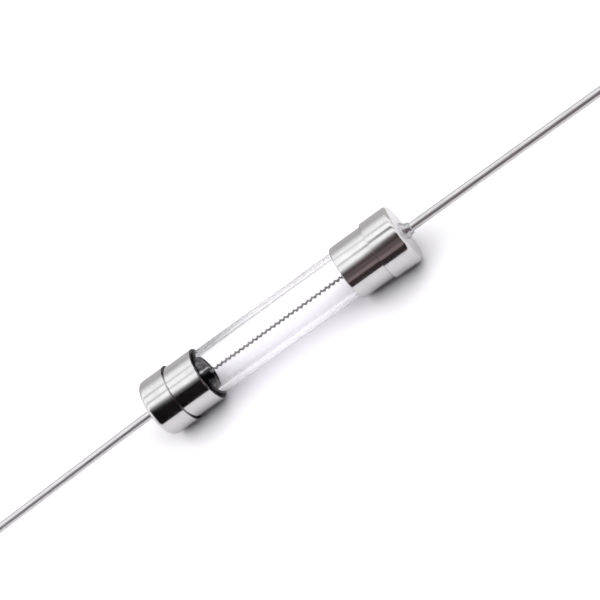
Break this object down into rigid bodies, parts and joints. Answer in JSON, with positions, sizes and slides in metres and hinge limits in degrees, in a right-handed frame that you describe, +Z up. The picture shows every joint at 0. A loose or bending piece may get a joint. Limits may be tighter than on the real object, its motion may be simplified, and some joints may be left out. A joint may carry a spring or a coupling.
{
  "type": "axial-lead glass cartridge fuse",
  "caption": "Glass cartridge fuse with a fine wound wire element, drawn end caps, pressed-on lead caps and stiff round axial leads for soldering into a circuit.",
  "frame": {"origin": "centre of the bounding box, on the tube's axis, midway between the closed faces of the end caps and midway between the lead tips", "axes": "+X along the tube and the right lead, +Z up, +Y completes the right-handed set"},
  "size_m": [0.1094, 0.007, 0.007],
  "materials": {
    "clear_glass": "gloss",
    "nickel_plate": "polished",
    "solder": "satin",
    "insulating_core": "matte",
    "element_wire": "satin",
    "tinned_wire": "satin"
  },
  "bodies": {
    "root": {"glass_tube": "clear_glass", "left_end_cap": "nickel_plate", "right_end_cap": "nickel_plate", "left_cap_solder": "solder", "right_cap_solder": "solder", "element_core": "insulating_core", "element_winding": "element_wire", "left_lead_cap": "nickel_plate", "right_lead_cap": "nickel_plate", "left_joint_solder": "solder", "right_joint_solder": "solder", "left_lead_wire": "tinned_wire", "right_lead_wire": "tinned_wire", "left_lead_solder": "solder", "right_lead_solder": "solder"}
  },
  "joints": []
}
